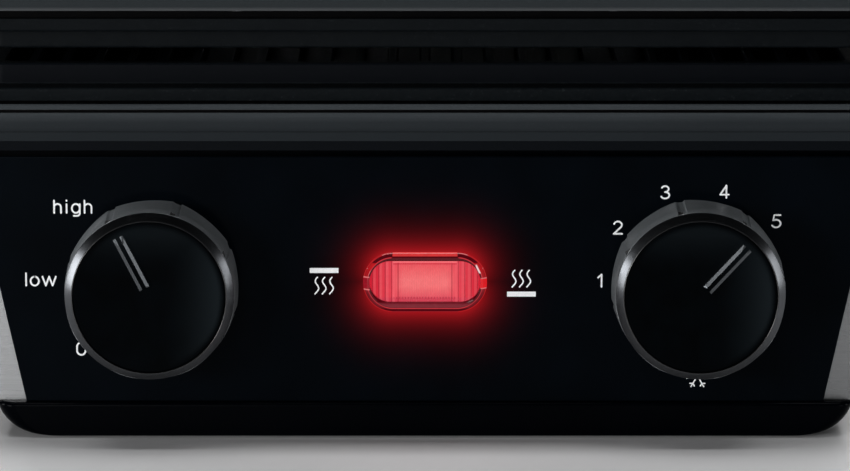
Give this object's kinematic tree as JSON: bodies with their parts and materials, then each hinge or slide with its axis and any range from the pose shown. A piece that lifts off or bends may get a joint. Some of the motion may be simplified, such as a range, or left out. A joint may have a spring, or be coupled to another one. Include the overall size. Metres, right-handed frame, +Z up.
{
  "type": "sandwich grill",
  "caption": "Countertop contact grill: hinged floating lid with coated plates, knobs, red lamp window, release buttons and a drip tray at the rear",
  "frame": {"origin": "centre of the bounding box in plan, on the table under the rubber feet", "axes": "+X to the right seen from the front, +Y to the rear, +Z up"},
  "size_m": [0.314, 0.3465, 0.1789],
  "materials": {
    "pan_black": "satin heat-resistant plastic",
    "side_steel": "fine horizontal brushing",
    "panel_black": "high gloss with a white printed legend",
    "rear_black": "fine grain",
    "rim_anthracite": "satin anthracite",
    "rubber_black": "matte",
    "screw_steel": "zinc plated",
    "plate_coat": "dark non-stick coat with fine light speckles",
    "heater_steel": "drawn tube",
    "reflector_sheet": "bright sheet",
    "switch_plastic": "moulded",
    "probe_copper": "drawn",
    "knob_shell": "satin",
    "knob_disc": "fine satin",
    "lens_clear": "clear moulded plastic",
    "lens_red": "ribbed and lit from behind",
    "lamp_white": "moulded",
    "lamp_glass": "clear",
    "wire_sleeve": "smooth sleeve",
    "tray_plastic": "satin",
    "spring_steel": "wire",
    "slide_white": "smooth",
    "hinge_black": "powder coat",
    "shaft_steel": "ground bar",
    "lid_steel": "fine brushing across the width",
    "grip_black": "fine satin",
    "inlay_steel": "brushed"
  },
  "bodies": {
    "base": {"base_pan": "pan_black", "tray_rails": "pan_black", "rubber_feet": "rubber_black", "base_screws": "screw_steel", "side_cover_left": "side_steel", "side_cover_right": "side_steel", "front_panel": "panel_black", "rear_cover": "rear_black", "cord_gland": "rubber_black", "base_rim": "rim_anthracite", "lower_plate": "plate_coat", "lower_heater": "heater_steel", "lower_reflector": "reflector_sheet", "lower_thermal_fuse": "switch_plastic", "drain_spout": "reflector_sheet", "mode_switch_body": "switch_plastic", "thermostat_body": "switch_plastic", "thermostat_probe": "probe_copper", "lamp_lens": "lens_clear", "lamp_diffuser": "lens_red", "lamp_housing": "lamp_white", "glow_lamps": "lamp_glass", "terminal_block": "lamp_white", "wire_harness": "wire_sleeve", "hinge_tower_left": "hinge_black", "hinge_tower_right": "hinge_black"},
    "mode_knob": {"mode_knob_shell": "knob_shell", "mode_knob_disc": "knob_disc", "mode_switch_shaft": "shaft_steel"},
    "heat_knob": {"heat_knob_shell": "knob_shell", "heat_knob_disc": "knob_disc", "thermostat_shaft": "shaft_steel"},
    "hinge_carriage": {"hinge_shaft": "shaft_steel", "slide_block_left": "slide_white", "slide_block_right": "slide_white", "hinge_washers": "slide_white"},
    "lid": {"lid_rim": "rim_anthracite", "lid_cover": "lid_steel", "lid_screws": "screw_steel", "lid_spacers": "screw_steel", "hinge_arm_left": "hinge_black", "hinge_arm_right": "hinge_black", "upper_plate": "plate_coat", "upper_heater": "heater_steel", "upper_reflector": "reflector_sheet", "upper_thermal_fuse": "switch_plastic", "handle_bracket_left": "hinge_black", "handle_bracket_right": "hinge_black", "handle_grip": "grip_black", "grip_inlay": "inlay_steel", "handle_screws": "screw_steel"},
    "drip_tray": {"drip_tray": "tray_plastic"},
    "lower_release": {"lower_release_button": "grip_black", "lower_release_spring": "spring_steel"},
    "upper_release": {"upper_release_button": "grip_black", "upper_release_spring": "spring_steel"}
  },
  "joints": [
    {"name": "mode_knob_turn", "type": "hinge", "parent": "base", "child": "mode_knob", "pos_m": [-0.0872, -0.15355, 0.05], "axis": [0, -1, 0], "range_deg": [0, 103]},
    {"name": "heat_knob_turn", "type": "hinge", "parent": "base", "child": "heat_knob", "pos_m": [0.0872, -0.15355, 0.05], "axis": [0, -1, 0], "range_deg": [-7, 223]},
    {"name": "hinge_float", "type": "slide", "parent": "base", "child": "hinge_carriage", "axis": [0, 0, 1], "range_m": [0, 0.02]},
    {"name": "lid_hinge", "type": "hinge", "parent": "hinge_carriage", "child": "lid", "pos_m": [0, 0.14625, 0.12115], "axis": [-1, 0, 0], "range_deg": [0, 105]},
    {"name": "tray_slide", "type": "slide", "parent": "base", "child": "drip_tray", "axis": [0, 1, 0], "range_m": [0, 0.1]},
    {"name": "lower_release_press", "type": "slide", "parent": "base", "child": "lower_release", "axis": [-1, 0, 0], "range_m": [0, 0.003], "stiffness_N_per_m": 400, "springref_m": -0.004, "deforming": ["lower_release_spring"]},
    {"name": "upper_release_press", "type": "slide", "parent": "lid", "child": "upper_release", "axis": [-1, 0, 0], "range_m": [0, 0.003], "stiffness_N_per_m": 400, "springref_m": -0.004, "deforming": ["upper_release_spring"]}
  ]
}
